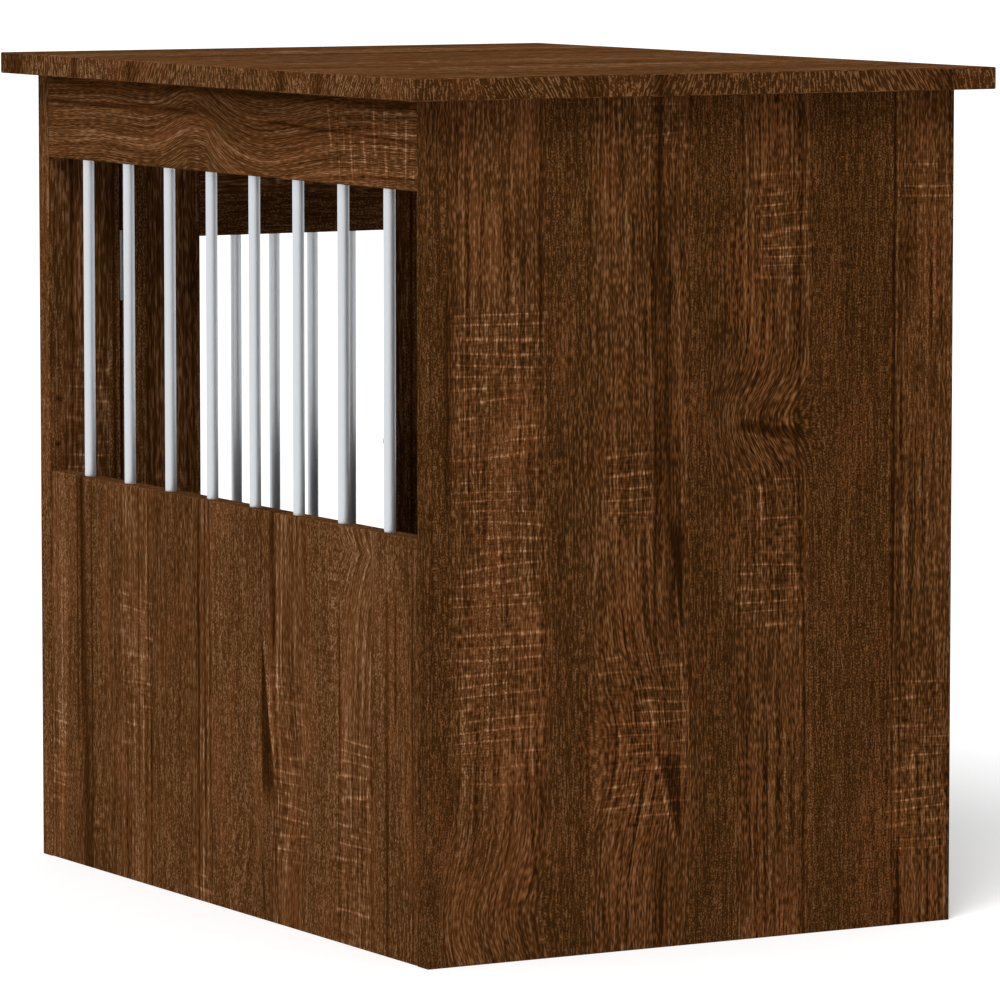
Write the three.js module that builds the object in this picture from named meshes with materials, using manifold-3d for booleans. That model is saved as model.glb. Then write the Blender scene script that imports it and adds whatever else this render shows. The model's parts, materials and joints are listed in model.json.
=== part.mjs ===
// Dog crate end table. A board carcass has a barred window in both long sides and an inset,
// barred door in one end, and a tabletop that overhangs it all round.
// Millimetres, +Z up. The origin is the middle of the footprint, on the floor. X runs across
// the table and Y along it. The door is in the -Y end, and its hinges are on the +X side.
import * as THREE from 'three';
import { mergeVertices } from 'three/addons/utils/BufferGeometryUtils.js';
import Module from 'manifold-3d';

const wasm = await Module();
wasm.setup();

// ---------------------------------------------------------------- driving dimensions

// Whole table
const TABLE_WIDTH = 450;
const TABLE_LENGTH = 620;
const TABLE_HEIGHT = 586;
const TOP_THICKNESS = 15;
const TOP_OVERHANG = 20;
const BOARD = 15; // thickness of every other board
const ARRIS = 0.6; // small chamfer that eases the edges of a board
const FIT = 0.3; // gap between pieces that meet
const CUT_PAST = 1; // how far a cutter runs past the face that it opens

// Long sides
const SIDE_RECESS = 0.5; // how far the side boards lie behind the edges of the end boards
const SIDE_RAIL_HEIGHT = 60;
const WINDOW_HEIGHT = 228;
const SIDE_BAR_COUNT = 8;
const SIDE_BAR_MARGIN = 51; // from an end board to the middle of the first bar

// Bars
const BAR_DIAMETER = 8;
const BAR_SOCKET_DEPTH = 10;

// Door end
const FRAME_STILE_WIDTH = 58;
const FRAME_TOP_RAIL = 58;
const FRAME_BOTTOM_RAIL = 58;
const DOOR_STILE_WIDTH = 63;
const DOOR_RAIL_HEIGHT = 60.5;
const DOOR_CLEARANCE = 2.5; // above, below and on the latch side
const DOOR_BAR_COUNT = 4;
const DOOR_BAR_MARGIN = 33.5; // from a stile to the middle of the first bar

// Floor board, and the cleats and battens that carry the boards laid on them
const FLOOR_HEIGHT = 30; // underside of the floor board
const CLEAT_SECTION = 20;
const CLEAT_SETBACK = 25; // from an end board to the end of a cleat or batten

// Butt hinges
const HINGE_HEIGHT = 51;
const HINGE_FROM_DOOR_END = 80; // from an end of the door to the middle of its hinge
const LEAF_THICKNESS = 0.8;
const LEAF_SETBACK = 0.5; // from the inner face of the boards to the end of the leaf
const KNUCKLE_COUNT = 5;
const KNUCKLE_WALL = 0.9;
const PIN_DIAMETER = 2.6;
const PIN_HEAD_DIAMETER = 4.4;
const PIN_HEAD_HEIGHT = 1.4;
const LEAF_HOLE_DIAMETER = 3.6;
const LEAF_HOLE_SPACING = 30;

// Barrel bolt
const LATCH_HEIGHT = 290;
const LATCH_FROM_EDGE = 1.5; // from the edge of a board to the end of the plate on it
const LATCH_PLATE_LENGTH = 44;
const LATCH_PLATE_HEIGHT = 26;
const LATCH_PLATE_THICKNESS = 1.2;
const LATCH_PLATE_CORNER = 3;
const LATCH_HOLE_DIAMETER = 3.4;
const LATCH_HOLE_INSET = 4.2; // from the edges of a plate to the middle of a screw hole
const KEEPER_LENGTH = 14;
const LOOP_WIDTH = 5;
const LOOP_WALL = 1.2;
const LOOP_CORNER = 1.6; // outer radius where a loop turns over the bolt
const BOLT_DIAMETER = 6;
const BOLT_CLEARANCE = 0.4;
const BOLT_TRAVEL = 14;
const BOLT_SETBACK = 2; // from the edge of the door to the tip of the drawn bolt
const BOLT_TAIL = 2; // past the last loop when the bolt is shot
const BOLT_CHAMFER = 1;
const KNOB_DIAMETER = 9;
const KNOB_HEIGHT = 6;
const KNOB_NECK_DIAMETER = 4;
const KNOB_NECK_LENGTH = 2.6;

// Cam fasteners, let into the inner faces of the side boards
const CAM_DIAMETER = 15;
const CAM_DEPTH = 12.5;
const CAM_FROM_END = 34;
const CAM_SLOT_LENGTH = 8;
const CAM_SLOT_WIDTH = 1.8;
const CAM_SLOT_DEPTH = 2.5;
const CAM_RAIL_HEIGHT = 30; // from the lower edge of a side rail
const CAM_PANEL_LOW = 90; // from the floor
const CAM_PANEL_HIGH = 230; // from the floor

// Flat sides that stand for a full circle
const BAR_FACETS = 20;
const CAM_FACETS = 24;
const HARDWARE_FACETS = 20;
const SCREW_HOLE_FACETS = 12;
const LOOP_CORNER_FACETS = 3; // a quarter circle

// ---------------------------------------------------------------- worked-out places

const wallHeight = TABLE_HEIGHT - TOP_THICKNESS;
const wallTop = wallHeight - FIT; // the walls stop just under the tabletop
const bodyX = TABLE_WIDTH / 2 - TOP_OVERHANG;
const bodyY = TABLE_LENGTH / 2 - TOP_OVERHANG;
const cabinY = bodyY - BOARD; // inner faces of the end boards
const sideX = bodyX - SIDE_RECESS; // outer faces of the side boards
const cabinX = sideX - BOARD; // inner faces of the side boards
const windowTop = wallHeight - SIDE_RAIL_HEIGHT;
const windowSill = windowTop - WINDOW_HEIGHT;

const barRadius = BAR_DIAMETER / 2;
const sideBarEnd = cabinY - SIDE_BAR_MARGIN;

const holeX = bodyX - FRAME_STILE_WIDTH; // door hole in the fixed frame
const holeTop = wallHeight - FRAME_TOP_RAIL;
const hingeGap = 2 * LEAF_THICKNESS + 3 * FIT;
const doorHingeX = holeX - hingeGap;
const doorLatchX = -holeX + DOOR_CLEARANCE;
const doorBottom = FRAME_BOTTOM_RAIL + DOOR_CLEARANCE;
const doorTop = holeTop - DOOR_CLEARANCE;
const doorOpeningLeft = doorLatchX + DOOR_STILE_WIDTH;
const doorOpeningRight = doorHingeX - DOOR_STILE_WIDTH;
const doorOpeningBottom = doorBottom + DOOR_RAIL_HEIGHT;
const doorOpeningTop = doorTop - DOOR_RAIL_HEIGHT;

const pinRadius = PIN_DIAMETER / 2;
const boreRadius = pinRadius + FIT;
const knuckleRadius = boreRadius + KNUCKLE_WALL;
const hingeX = holeX - hingeGap / 2;
const hingeY = -bodyY - FIT - knuckleRadius;
const knucklePitch = (HINGE_HEIGHT + FIT) / KNUCKLE_COUNT;

const boltRadius = BOLT_DIAMETER / 2;
const loopReach = boltRadius + BOLT_CLEARANCE; // from the bolt's axis to the loop
const plateFaceY = -bodyY - FIT - LATCH_PLATE_THICKNESS;
const boltY = plateFaceY - loopReach;
const guideLeft = doorLatchX + LATCH_FROM_EDGE;
const guideRight = guideLeft + LATCH_PLATE_LENGTH;
const keeperRight = -holeX - LATCH_FROM_EDGE;
const boltTip = doorLatchX + BOLT_SETBACK;
const boltEnd = guideRight + BOLT_TAIL + BOLT_TRAVEL;

// ---------------------------------------------------------------- finishes

const darkOak = { color: 0x5f3c22, roughness: 0.62, metalness: 0 };
const satinSteel = { color: 0xd2d5d6, roughness: 0.3, metalness: 0.85 };
const platedSteel = { color: 0xa9abac, roughness: 0.35, metalness: 0.9 };
const castZinc = { color: 0x9a9b9c, roughness: 0.5, metalness: 0.8 };

// ---------------------------------------------------------------- helpers

const table = new THREE.Group();
const door = new THREE.Group();
table.add(door);

/** Turns a closed geometry into a solid that can be cut and joined. */
function solid(geometry) {
  const bare = geometry.index ? geometry.toNonIndexed() : geometry.clone();
  bare.deleteAttribute('normal');
  bare.deleteAttribute('uv');
  const merged = mergeVertices(bare, 1e-4);
  const vertProperties = new Float32Array(merged.attributes.position.array);
  const triVerts = new Uint32Array(merged.index.array);
  return new wasm.Manifold(new wasm.Mesh({ numProp: 3, vertProperties, triVerts }));
}

/** Turns a solid back into a geometry. */
function geometryOf(body) {
  const mesh = body.getMesh();
  const geometry = new THREE.BufferGeometry();
  geometry.setAttribute('position', new THREE.BufferAttribute(mesh.vertProperties, 3));
  geometry.setIndex(new THREE.BufferAttribute(mesh.triVerts, 1));
  geometry.computeVertexNormals();
  return geometry;
}

/** Adds one named piece to a group. Its geometry is centred on the place given by at. */
function addPiece(group, name, geometry, finish, at) {
  const mesh = new THREE.Mesh(geometry, new THREE.MeshStandardMaterial(finish));
  mesh.name = name;
  mesh.position.set(...at);
  group.add(mesh);
}

/** A flat-faced board with eased edges, extruded through its thinnest side. */
function boardGeometry([sizeX, sizeY, sizeZ]) {
  const thickness = Math.min(sizeX, sizeY, sizeZ);
  const faces = {
    x: { width: sizeZ, height: sizeY },
    y: { width: sizeX, height: sizeZ },
    z: { width: sizeX, height: sizeY },
  };
  const thinAxis = thickness === sizeX ? 'x' : thickness === sizeY ? 'y' : 'z';
  const { width, height } = faces[thinAxis];
  const outline = new THREE.Shape();
  outline.moveTo(-width / 2, -height / 2);
  outline.lineTo(width / 2, -height / 2);
  outline.lineTo(width / 2, height / 2);
  outline.lineTo(-width / 2, height / 2);
  outline.closePath();
  const geometry = new THREE.ExtrudeGeometry(outline, {
    depth: thickness - 2 * ARRIS,
    bevelSize: ARRIS,
    bevelOffset: -ARRIS,
    bevelThickness: ARRIS,
    bevelSegments: 1,
  });
  geometry.translate(0, 0, ARRIS - thickness / 2);
  if (thinAxis === 'x') geometry.rotateY(Math.PI / 2);
  if (thinAxis === 'y') geometry.rotateX(Math.PI / 2);
  return geometry;
}

/** Adds a board between two corners, less the pockets that are let into it. */
function addBoard(group, name, low, high, pockets = []) {
  const size = low.map((value, axis) => high[axis] - value);
  const centre = low.map((value, axis) => (value + high[axis]) / 2);
  let geometry = boardGeometry(size);
  if (pockets.length > 0) {
    let body = solid(geometry);
    for (const pocket of pockets) {
      body = body.subtract(pocket.translate(centre.map((value) => -value)));
    }
    geometry = geometryOf(body);
  }
  addPiece(group, name, geometry, darkOak, centre);
}

/** A round rod along X, Y or Z, centred on a point. */
function rod(axis, radius, length, facets, [x, y, z] = [0, 0, 0]) {
  const geometry = new THREE.CylinderGeometry(radius, radius, length, facets);
  if (axis === 'x') geometry.rotateZ(Math.PI / 2);
  if (axis === 'z') geometry.rotateX(Math.PI / 2);
  return geometry.translate(x, y, z);
}

/** The middle of each of count places spread evenly from first to last. */
function spread(first, last, count) {
  const places = [];
  for (let i = 0; i < count; i += 1) {
    places.push(first + (last - first) * (i / Math.max(count - 1, 1)));
  }
  return places;
}

// ---------------------------------------------------------------- bars

/** The blind hole that holds one end of a bar; mouth is the height of its open end. */
function barSocket(x, y, mouth, direction) {
  const middle = mouth + (direction * (BAR_SOCKET_DEPTH - CUT_PAST)) / 2;
  return solid(rod('z', barRadius + FIT, BAR_SOCKET_DEPTH + CUT_PAST, BAR_FACETS, [x, y, middle]));
}

/** A bar that stands in the sockets of a lower and an upper board. */
function addBar(group, name, x, y, sill, head) {
  const bottom = sill - BAR_SOCKET_DEPTH + FIT;
  const top = head + BAR_SOCKET_DEPTH - FIT;
  const geometry = rod('z', barRadius, top - bottom, BAR_FACETS);
  addPiece(group, name, geometry, satinSteel, [x, y, (bottom + top) / 2]);
}

// ---------------------------------------------------------------- cam fasteners

/** A cam in a side board's inner face; side is -1 or 1. */
function addCam(name, side, y, z) {
  const radius = CAM_DIAMETER / 2;
  const length = CAM_DEPTH - FIT;
  let body = solid(rod('x', radius, length, CAM_FACETS));
  const slot = new THREE.BoxGeometry(CAM_SLOT_DEPTH * 2, CAM_SLOT_LENGTH, CAM_SLOT_WIDTH);
  slot.translate((-side * length) / 2, 0, 0);
  body = body.subtract(solid(slot));
  body = body.subtract(solid(slot.clone().rotateX(Math.PI / 2)));
  addPiece(table, name, geometryOf(body), castZinc, [side * (cabinX + length / 2), y, z]);
}

/** The pocket for one cam. */
function camPocket(side, y, z) {
  const radius = CAM_DIAMETER / 2 + FIT;
  const middle = side * (cabinX + (CAM_DEPTH - CUT_PAST) / 2);
  return solid(rod('x', radius, CAM_DEPTH + CUT_PAST, CAM_FACETS, [middle, y, z]));
}

// ---------------------------------------------------------------- carcass

addBoard(
  table,
  'tabletop',
  [-TABLE_WIDTH / 2, -TABLE_LENGTH / 2, wallHeight],
  [TABLE_WIDTH / 2, TABLE_LENGTH / 2, TABLE_HEIGHT],
);
addBoard(table, 'back_panel', [-bodyX, cabinY, 0], [bodyX, bodyY, wallTop]);

const endCamY = cabinY - CAM_FROM_END;
const sideEndY = cabinY - FIT;
const sideBarX = (cabinX + sideX) / 2;
const cleatEndY = cabinY - CLEAT_SETBACK;
const cleatX = cabinX - FIT;

for (const [side, word] of [[-1, 'left'], [1, 'right']]) {
  // X limits of a piece between two distances from the middle, on this side of the table
  const limits = (near, far) => (side > 0 ? [near, far] : [-far, -near]);
  const [boardLow, boardHigh] = limits(cabinX, sideX);
  const bars = spread(-sideBarEnd, sideBarEnd, SIDE_BAR_COUNT);

  const railCams = [[-endCamY, 'front'], [endCamY, 'back']];
  const railCamZ = windowTop + CAM_RAIL_HEIGHT;
  addBoard(
    table,
    `side_rail_${word}`,
    [boardLow, -sideEndY, windowTop],
    [boardHigh, sideEndY, wallTop],
    [
      ...bars.map((y) => barSocket(side * sideBarX, y, windowTop, 1)),
      ...railCams.map(([y]) => camPocket(side, y, railCamZ)),
    ],
  );
  for (const [y, end] of railCams) addCam(`rail_cam_${word}_${end}`, side, y, railCamZ);

  const panelCams = [];
  for (const [y, end] of railCams) {
    panelCams.push([y, CAM_PANEL_LOW, `${end}_low`]);
    panelCams.push([y, CAM_PANEL_HIGH, `${end}_high`]);
  }
  addBoard(
    table,
    `side_panel_${word}`,
    [boardLow, -sideEndY, 0],
    [boardHigh, sideEndY, windowSill],
    [
      ...bars.map((y) => barSocket(side * sideBarX, y, windowSill, -1)),
      ...panelCams.map(([y, z]) => camPocket(side, y, z)),
    ],
  );
  for (const [y, z, end] of panelCams) addCam(`panel_cam_${word}_${end}`, side, y, z);

  bars.forEach((y, i) => {
    addBar(table, `side_bar_${word}_${i + 1}`, side * sideBarX, y, windowSill, windowTop);
  });

  const [cleatLow, cleatHigh] = limits(cleatX - CLEAT_SECTION, cleatX);
  addBoard(
    table,
    `floor_cleat_${word}`,
    [cleatLow, -cleatEndY, FLOOR_HEIGHT - FIT - CLEAT_SECTION],
    [cleatHigh, cleatEndY, FLOOR_HEIGHT - FIT],
  );
  addBoard(
    table,
    `top_batten_${word}`,
    [cleatLow, -cleatEndY, wallTop - CLEAT_SECTION],
    [cleatHigh, cleatEndY, wallTop],
  );
}

addBoard(
  table,
  'floor_board',
  [-cleatX, -sideEndY, FLOOR_HEIGHT],
  [cleatX, sideEndY, FLOOR_HEIGHT + BOARD],
);

// ---------------------------------------------------------------- fixed frame of the door end

addBoard(table, 'front_stile_left', [-bodyX, -bodyY, 0], [-holeX, -cabinY, wallTop]);
addBoard(table, 'front_stile_right', [holeX, -bodyY, 0], [bodyX, -cabinY, wallTop]);
addBoard(
  table,
  'front_rail_top',
  [-holeX + FIT, -bodyY, holeTop],
  [holeX - FIT, -cabinY, wallTop],
);
addBoard(
  table,
  'front_rail_bottom',
  [-holeX + FIT, -bodyY, 0],
  [holeX - FIT, -cabinY, FRAME_BOTTOM_RAIL],
);

// ---------------------------------------------------------------- door

const doorBarY = -(bodyY + cabinY) / 2;
const doorBars = spread(
  doorOpeningLeft + DOOR_BAR_MARGIN,
  doorOpeningRight - DOOR_BAR_MARGIN,
  DOOR_BAR_COUNT,
);

addBoard(
  door,
  'door_stile_latch',
  [doorLatchX, -bodyY, doorBottom],
  [doorOpeningLeft, -cabinY, doorTop],
);
addBoard(
  door,
  'door_stile_hinge',
  [doorOpeningRight, -bodyY, doorBottom],
  [doorHingeX, -cabinY, doorTop],
);
addBoard(
  door,
  'door_rail_top',
  [doorOpeningLeft + FIT, -bodyY, doorOpeningTop],
  [doorOpeningRight - FIT, -cabinY, doorTop],
  doorBars.map((x) => barSocket(x, doorBarY, doorOpeningTop, 1)),
);
addBoard(
  door,
  'door_rail_bottom',
  [doorOpeningLeft + FIT, -bodyY, doorBottom],
  [doorOpeningRight - FIT, -cabinY, doorOpeningBottom],
  doorBars.map((x) => barSocket(x, doorBarY, doorOpeningBottom, -1)),
);
doorBars.forEach((x, i) => {
  addBar(door, `door_bar_${i + 1}`, x, doorBarY, doorOpeningBottom, doorOpeningTop);
});

// ---------------------------------------------------------------- butt hinges

/** A knuckle's height from the middle of the hinge, counted from the lowest. */
function knuckleCentre(index) {
  return (index - (KNUCKLE_COUNT - 1) / 2) * knucklePitch;
}

/**
 * One leaf with the knuckles rolled from it, about the hinge's axis. side is 1 for the leaf
 * on the fixed frame, with the odd knuckles, and -1 for the leaf on the door.
 */
function leafGeometry(side) {
  const leafEnd = -cabinY - LEAF_SETBACK - hingeY; // along Y from the axis
  const leafX = side * (hingeGap / 2 - FIT - LEAF_THICKNESS / 2);
  const plate = new THREE.BoxGeometry(LEAF_THICKNESS, leafEnd, HINGE_HEIGHT);
  let leaf = solid(plate.translate(leafX, leafEnd / 2, 0));
  const knuckleHeight = knucklePitch - FIT;
  for (let i = 0; i < KNUCKLE_COUNT; i += 1) {
    const middle = [0, 0, knuckleCentre(i)];
    const ownKnuckle = (i % 2 === 0) === (side > 0);
    if (ownKnuckle) {
      leaf = leaf.add(solid(rod('z', knuckleRadius, knuckleHeight, HARDWARE_FACETS, middle)));
    } else {
      const room = rod('z', knuckleRadius + FIT, knucklePitch + FIT, HARDWARE_FACETS, middle);
      leaf = leaf.subtract(solid(room));
    }
  }
  const bore = rod('z', boreRadius, HINGE_HEIGHT + 2 * CUT_PAST, HARDWARE_FACETS);
  leaf = leaf.subtract(solid(bore));
  const holeY = leafEnd - BOARD / 2 + LEAF_SETBACK; // over the middle of the board's edge
  const holeLength = LEAF_THICKNESS + 2 * CUT_PAST;
  for (const z of [-LEAF_HOLE_SPACING / 2, LEAF_HOLE_SPACING / 2]) {
    const place = [leafX, holeY, z];
    const hole = rod('x', LEAF_HOLE_DIAMETER / 2, holeLength, SCREW_HOLE_FACETS, place);
    leaf = leaf.subtract(solid(hole));
  }
  return geometryOf(leaf);
}

/** The pin: a domed head over the top knuckle, and a rounded foot under the lowest. */
function pinGeometry() {
  const headRadius = PIN_HEAD_DIAMETER / 2;
  const seat = HINGE_HEIGHT / 2 + FIT;
  const foot = -HINGE_HEIGHT / 2 - PIN_HEAD_HEIGHT;
  const profile = [
    [0, foot],
    [pinRadius * 0.6, foot],
    [pinRadius, foot + pinRadius * 0.4],
    [pinRadius, seat],
    [headRadius, seat],
    [headRadius, seat + PIN_HEAD_HEIGHT * 0.4],
    [headRadius * 0.6, seat + PIN_HEAD_HEIGHT * 0.9],
    [0, seat + PIN_HEAD_HEIGHT],
  ];
  const points = profile.map(([r, z]) => new THREE.Vector2(r, z));
  return new THREE.LatheGeometry(points, HARDWARE_FACETS).rotateX(Math.PI / 2);
}

const hingePlaces = [
  ['upper', doorTop - HINGE_FROM_DOOR_END],
  ['lower', doorBottom + HINGE_FROM_DOOR_END],
];
for (const [word, z] of hingePlaces) {
  const at = [hingeX, hingeY, z];
  addPiece(table, `hinge_${word}_frame_leaf`, leafGeometry(1), platedSteel, at);
  addPiece(door, `hinge_${word}_door_leaf`, leafGeometry(-1), platedSteel, at);
  addPiece(table, `hinge_${word}_pin`, pinGeometry(), platedSteel, at);
}

// ---------------------------------------------------------------- barrel bolt

/** A flat plate in front of the door end, with rounded corners and screw holes. */
function latchPlate(left, right, holes) {
  const half = LATCH_PLATE_HEIGHT / 2;
  const corner = LATCH_PLATE_CORNER;
  const outline = new THREE.Shape();
  outline.moveTo(left + corner, -half);
  outline.absarc(right - corner, -half + corner, corner, -Math.PI / 2, 0);
  outline.absarc(right - corner, half - corner, corner, 0, Math.PI / 2);
  outline.absarc(left + corner, half - corner, corner, Math.PI / 2, Math.PI);
  outline.absarc(left + corner, -half + corner, corner, Math.PI, 1.5 * Math.PI);
  const edge = half - LATCH_HOLE_INSET;
  for (const x of holes) {
    for (const z of [-edge, edge]) {
      const hole = new THREE.Path();
      hole.absarc(x, z, LATCH_HOLE_DIAMETER / 2, 0, 2 * Math.PI, true);
      outline.holes.push(hole);
    }
  }
  const plate = new THREE.ExtrudeGeometry(outline, {
    depth: LATCH_PLATE_THICKNESS,
    bevelEnabled: false,
    curveSegments: SCREW_HOLE_FACETS / 2,
  });
  return solid(plate.rotateX(Math.PI / 2).translate(0, plateFaceY + LATCH_PLATE_THICKNESS, 0));
}

/** A pressed strap over the bolt, from one X to another, standing on its plate. */
function latchLoop(left, right) {
  const outer = loopReach + LOOP_WALL;
  const root = loopReach + LATCH_PLATE_THICKNESS / 2; // the feet run into the plate
  const corner = LOOP_CORNER;
  const section = new THREE.Shape();
  section.moveTo(-outer, -root);
  section.lineTo(-loopReach, -root);
  section.lineTo(-loopReach, loopReach);
  section.lineTo(loopReach, loopReach);
  section.lineTo(loopReach, -root);
  section.lineTo(outer, -root);
  section.absarc(outer - corner, outer - corner, corner, 0, Math.PI / 2);
  section.absarc(corner - outer, outer - corner, corner, Math.PI / 2, Math.PI);
  const strap = new THREE.ExtrudeGeometry(section, {
    depth: right - left,
    bevelEnabled: false,
    curveSegments: LOOP_CORNER_FACETS,
  });
  // the section is drawn across Z and out along -Y, and extruded along X
  const turn = new THREE.Matrix4().makeBasis(
    new THREE.Vector3(0, 0, -1),
    new THREE.Vector3(0, -1, 0),
    new THREE.Vector3(-1, 0, 0),
  );
  return solid(strap.applyMatrix4(turn).translate(right, boltY, 0));
}

/** Adds a latch plate with its loops as one piece. */
function addLatchPlate(group, name, left, right, loops, holes) {
  let body = latchPlate(left, right, holes);
  for (const start of loops) body = body.add(latchLoop(start, start + LOOP_WIDTH));
  const centre = [(left + right) / 2, plateFaceY, 0];
  const geometry = geometryOf(body.translate(centre.map((value) => -value)));
  addPiece(group, name, geometry, platedSteel, [centre[0], centre[1], LATCH_HEIGHT]);
}

addLatchPlate(
  door,
  'latch_guide',
  guideLeft,
  guideRight,
  [guideLeft, guideRight - LOOP_WIDTH],
  [guideLeft + LATCH_HOLE_INSET, guideRight - LATCH_HOLE_INSET],
);
addLatchPlate(
  table,
  'latch_keeper',
  keeperRight - KEEPER_LENGTH,
  keeperRight,
  [keeperRight - LOOP_WIDTH],
  [keeperRight - KEEPER_LENGTH + LATCH_HOLE_INSET],
);

/** The sliding bolt with the knob that stands out between its loops. */
function boltGeometry() {
  const length = boltEnd - boltTip;
  const barrel = [
    [0, 0],
    [boltRadius - BOLT_CHAMFER, 0],
    [boltRadius, BOLT_CHAMFER],
    [boltRadius, length - BOLT_CHAMFER],
    [boltRadius - BOLT_CHAMFER, length],
    [0, length],
  ].map(([r, x]) => new THREE.Vector2(r, x));
  const body = new THREE.LatheGeometry(barrel, HARDWARE_FACETS);
  body.rotateZ(-Math.PI / 2).translate(-length / 2, 0, 0);

  const neckRadius = KNOB_NECK_DIAMETER / 2;
  const knobRadius = KNOB_DIAMETER / 2;
  const knobFoot = boltRadius + KNOB_NECK_LENGTH;
  const knobTop = knobFoot + KNOB_HEIGHT;
  const knob = [
    [0, 0],
    [neckRadius, 0],
    [neckRadius, knobFoot],
    [knobRadius * 0.75, knobFoot],
    [knobRadius, knobFoot + KNOB_HEIGHT * 0.3],
    [knobRadius, knobTop - KNOB_HEIGHT * 0.3],
    [knobRadius * 0.7, knobTop],
    [0, knobTop],
  ].map(([r, y]) => new THREE.Vector2(r, y));
  const grip = new THREE.LatheGeometry(knob, HARDWARE_FACETS);
  const knobX = (guideLeft + guideRight + BOLT_TRAVEL) / 2 - (boltTip + boltEnd) / 2;
  grip.rotateX(Math.PI).translate(knobX, 0, 0);
  return geometryOf(solid(body).add(solid(grip)));
}
addPiece(door, 'latch_bolt', boltGeometry(), platedSteel, [
  (boltTip + boltEnd) / 2,
  boltY,
  LATCH_HEIGHT,
]);

export default table;
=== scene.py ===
"""The looks of a dog crate end table: dark oak boards, satin steel bars, butt hinges, cam
fasteners and a barrel bolt, on a pale floor in soft studio light.

Metres, +Z up. X runs across the table and Y along it; the door is in the -Y end.
"""

import json
import math
import random
from dataclasses import dataclass

import bmesh
import bpy
from mathutils import Matrix, Vector


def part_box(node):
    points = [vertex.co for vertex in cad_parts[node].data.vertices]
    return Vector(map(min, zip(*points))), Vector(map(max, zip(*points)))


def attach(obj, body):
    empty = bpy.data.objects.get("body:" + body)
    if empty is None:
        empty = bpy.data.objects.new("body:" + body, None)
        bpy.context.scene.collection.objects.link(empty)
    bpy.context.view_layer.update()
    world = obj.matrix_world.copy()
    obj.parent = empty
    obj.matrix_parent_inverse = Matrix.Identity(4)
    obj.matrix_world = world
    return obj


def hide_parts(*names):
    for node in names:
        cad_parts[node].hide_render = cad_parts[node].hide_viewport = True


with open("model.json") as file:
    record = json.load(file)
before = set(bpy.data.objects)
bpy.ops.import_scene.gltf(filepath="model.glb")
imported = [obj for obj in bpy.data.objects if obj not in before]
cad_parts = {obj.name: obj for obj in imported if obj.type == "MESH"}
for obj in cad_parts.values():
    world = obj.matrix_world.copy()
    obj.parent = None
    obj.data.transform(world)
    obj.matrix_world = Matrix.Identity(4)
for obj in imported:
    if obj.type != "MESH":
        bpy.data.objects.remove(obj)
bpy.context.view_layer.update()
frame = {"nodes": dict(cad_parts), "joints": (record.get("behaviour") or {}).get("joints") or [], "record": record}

MM = 0.001
nodes = frame["nodes"]
body_of_node = {
    name: body
    for body, names in frame["record"]["behaviour"]["bodies"].items()
    for name in names
}

# ---------------------------------------------------------------- camera

CAMERA_PLACE = Vector((2.2942, 4.0406, 0.7387))
CAMERA_HEADING = 240.253  # degrees round from +X
CAMERA_TILT = -5.697  # degrees above the horizon
FOCAL_LENGTH = 237.96  # mm, for a sensor 36 mm wide


def add_camera():
    """The long lens that sees the back and one long side."""
    heading = math.radians(CAMERA_HEADING)
    tilt = math.radians(CAMERA_TILT)
    flat = math.cos(tilt)
    aim = Vector((math.cos(heading) * flat, math.sin(heading) * flat, math.sin(tilt)))
    data = bpy.data.cameras.new("camera")
    data.lens = FOCAL_LENGTH
    data.clip_end = 100
    camera = bpy.data.objects.new("camera", data)
    camera.location = CAMERA_PLACE
    camera.rotation_mode = "QUATERNION"
    camera.rotation_quaternion = aim.to_track_quat("-Z", "Y")
    bpy.context.scene.collection.objects.link(camera)
    bpy.context.scene.camera = camera


# ---------------------------------------------------------------- node trees


class Term:
    """A value in a node tree. Sums and products of terms add the nodes that work them out."""

    def __init__(self, graph, socket):
        self.graph = graph
        self.socket = socket

    def __add__(self, other):
        return self.graph.math("ADD", self, other)

    def __sub__(self, other):
        return self.graph.math("SUBTRACT", self, other)

    def __rsub__(self, other):
        return self.graph.math("SUBTRACT", other, self)

    def __mul__(self, other):
        return self.graph.math("MULTIPLY", self, other)

    def __truediv__(self, other):
        return self.graph.math("DIVIDE", self, other)

    __radd__ = __add__
    __rmul__ = __mul__


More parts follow.
